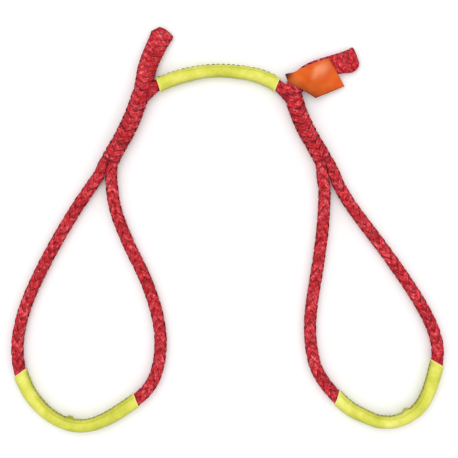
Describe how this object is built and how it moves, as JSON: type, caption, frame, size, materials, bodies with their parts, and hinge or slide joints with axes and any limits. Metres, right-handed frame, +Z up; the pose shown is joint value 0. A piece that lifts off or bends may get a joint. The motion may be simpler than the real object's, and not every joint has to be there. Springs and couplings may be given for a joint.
{
  "type": "tow rope handle",
  "caption": "Double hand-loop tow rope handle: spliced hollow-braid rope with a sleeved bridge, sleeved grips, loose tails and a bright flag.",
  "frame": {"origin": "centre of the handle's bounding box, on the floor it lies on", "axes": "+X towards the right hand loop, +Y from the hand loops to the bridge, +Z up from the floor"},
  "size_m": [0.3479, 0.3254, 0.0154],
  "materials": {
    "red_rope": "braided rope, slightly fuzzy, mixed red filaments",
    "yellow_webbing": "smooth tubular webbing, fine lengthwise ribs",
    "orange_film": "glossy flexible film",
    "stitching_thread": "waxed thread"
  },
  "bodies": {
    "bridge": {"bridge_rope": "red_rope", "bridge_sleeve": "yellow_webbing", "left_crotch_rope": "red_rope", "right_crotch_rope": "red_rope"},
    "left_splice": {"left_splice_cover": "red_rope", "left_splice_core": "red_rope", "left_crotch_stitching": "stitching_thread", "left_throat_stitching": "stitching_thread"},
    "left_throat": {"left_throat_rope": "red_rope"},
    "left_loop": {"left_outer_leg": "red_rope", "left_grip_rope": "red_rope", "left_inner_leg": "red_rope", "left_grip_sleeve": "yellow_webbing"},
    "left_tail": {"left_tail": "red_rope"},
    "right_splice": {"right_splice_cover": "red_rope", "right_splice_core": "red_rope", "right_crotch_stitching": "stitching_thread", "right_throat_stitching": "stitching_thread"},
    "right_throat": {"right_throat_rope": "red_rope"},
    "right_loop": {"right_outer_leg": "red_rope", "right_grip_rope": "red_rope", "right_inner_leg": "red_rope", "right_grip_sleeve": "yellow_webbing"},
    "right_tail": {"right_tail": "red_rope"},
    "flag": {"warning_flag": "orange_film"}
  },
  "joints": [
    {"name": "left_splice_swing", "type": "hinge", "parent": "bridge", "child": "left_splice", "pos_m": [-0.0665, 0.109, 0.0077], "axis": [0, 0, 1], "range_deg": [-25, 15], "deforming": ["left_crotch_rope"]},
    {"name": "left_loop_swing", "type": "hinge", "parent": "left_splice", "child": "left_throat", "pos_m": [-0.091, 0.056, 0.0077], "axis": [0, 0, 1], "range_deg": [-25, 15], "deforming": ["left_throat_rope"]},
    {"name": "left_loop_fold", "type": "hinge", "parent": "left_throat", "child": "left_loop", "pos_m": [-0.091, 0.056, 0.0077], "axis": [-0.9077, 0.4196, 0], "range_deg": [0, 70]},
    {"name": "left_tail_lift", "type": "hinge", "parent": "bridge", "child": "left_tail", "pos_m": [-0.0665, 0.109, 0.0077], "axis": [0.9932, -0.1168, 0], "range_deg": [0, 50]},
    {"name": "right_splice_swing", "type": "hinge", "parent": "bridge", "child": "right_splice", "pos_m": [0.0505, 0.1075, 0.0077], "axis": [0, 0, 1], "range_deg": [-15, 25], "deforming": ["right_crotch_rope"]},
    {"name": "right_loop_swing", "type": "hinge", "parent": "right_splice", "child": "right_throat", "pos_m": [0.075, 0.0565, 0.0077], "axis": [0, 0, 1], "range_deg": [-15, 25], "deforming": ["right_throat_rope"]},
    {"name": "right_loop_fold", "type": "hinge", "parent": "right_throat", "child": "right_loop", "pos_m": [0.075, 0.0565, 0.0077], "axis": [-0.9014, -0.433, 0], "range_deg": [0, 70]},
    {"name": "right_tail_lift", "type": "hinge", "parent": "bridge", "child": "right_tail", "pos_m": [0.0505, 0.1075, 0.0077], "axis": [0.8107, -0.5855, 0], "range_deg": [0, 50]},
    {"name": "flag_flap", "type": "hinge", "parent": "right_tail", "child": "flag", "pos_m": [0.053, 0.1215, 0.0139], "axis": [-0.9193, -0.3827, 0.0919], "range_deg": [0, 45]}
  ]
}
